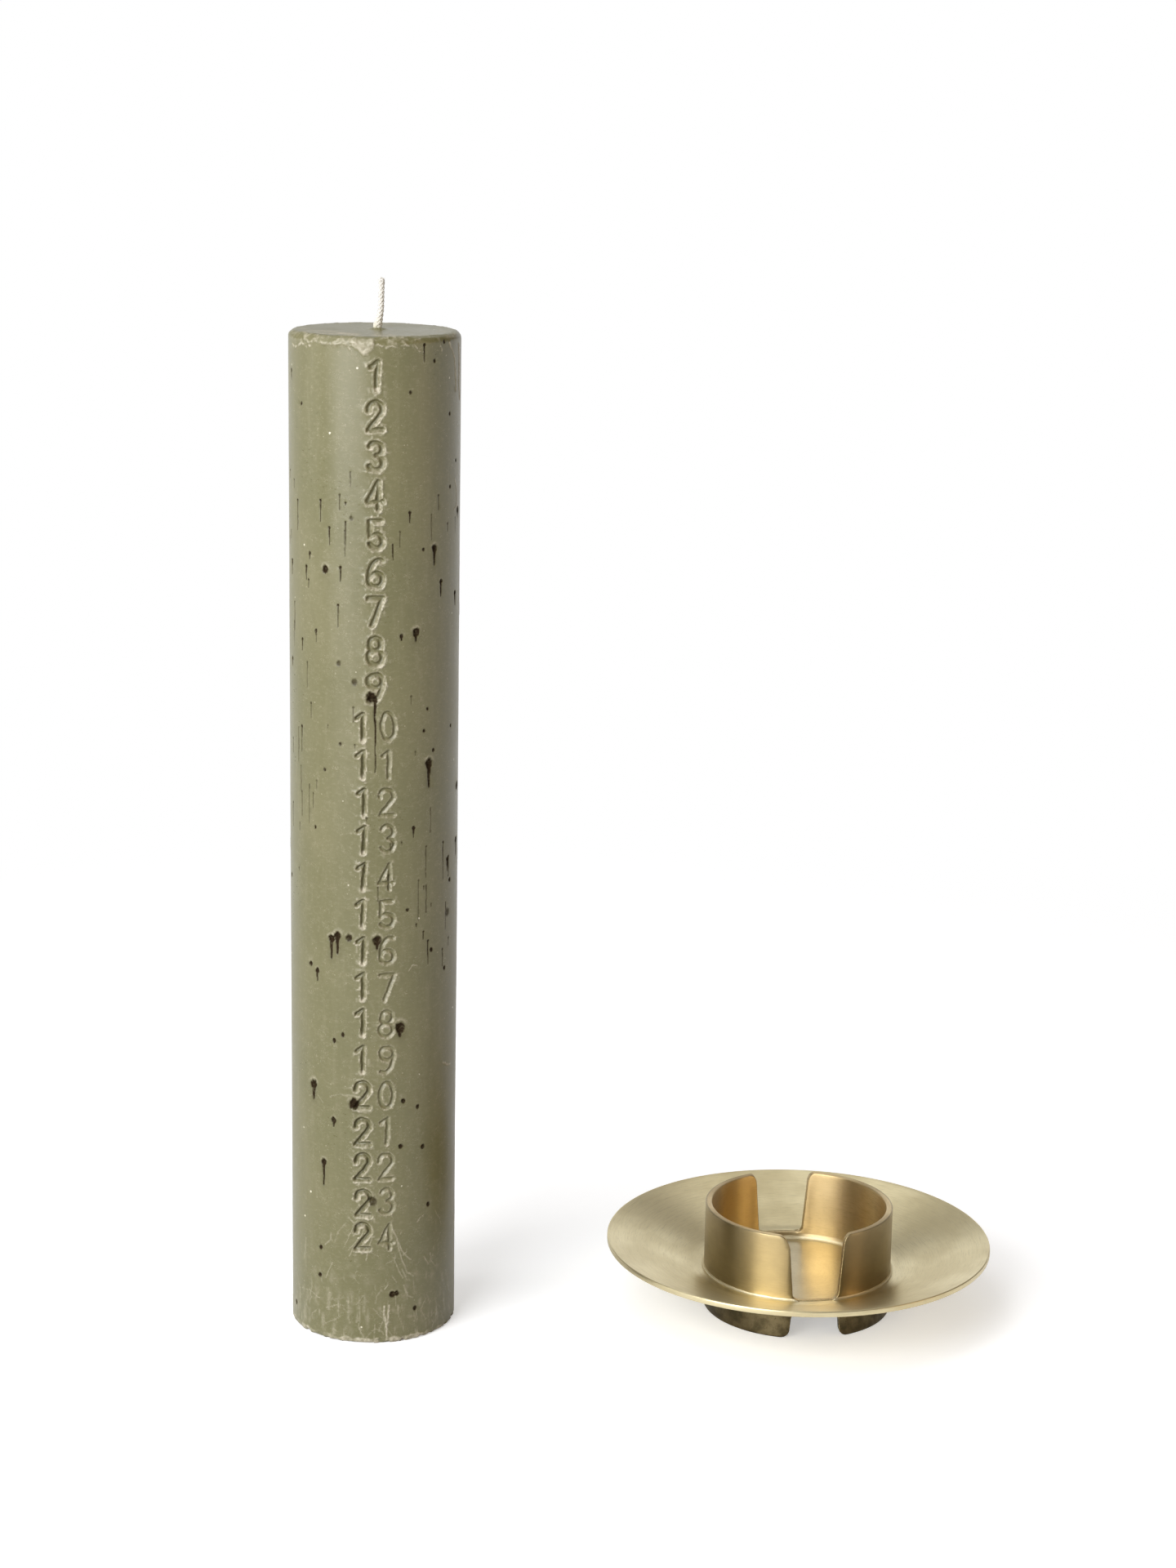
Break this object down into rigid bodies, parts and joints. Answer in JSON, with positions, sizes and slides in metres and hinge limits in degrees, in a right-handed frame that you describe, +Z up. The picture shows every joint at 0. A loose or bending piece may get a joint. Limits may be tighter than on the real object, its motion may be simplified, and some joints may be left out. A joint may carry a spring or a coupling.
{
  "type": "calendar candle with holder",
  "caption": "Tall pillar candle with a column of pressed day numerals, standing beside a round brass saucer holder with a slotted upright socket.",
  "frame": {"origin": "middle of the footprint of the candle and the holder together, on the table", "axes": "+Z up along the candle, the holder's socket and their common upright direction; +X from the candle to the holder; the numerals face -Y"},
  "size_m": [0.2175, 0.12, 0.3192],
  "materials": {
    "wax": "satin",
    "wick_cotton": "matte",
    "brass_tube": "satin",
    "brass_sheet": "satin",
    "brass_floor": "satin",
    "braze": "satin"
  },
  "bodies": {
    "holder": {"socket_tube": "brass_tube", "saucer": "brass_sheet", "floor_disc": "brass_floor", "saucer_braze": "braze", "floor_braze": "braze"},
    "candle": {"candle_wax": "wax", "wick": "wick_cotton"}
  },
  "joints": [
    {"name": "candle_lift", "type": "slide", "parent": "holder", "child": "candle", "axis": [0, 0, 1], "range_m": [0, 0.06]}
  ]
}
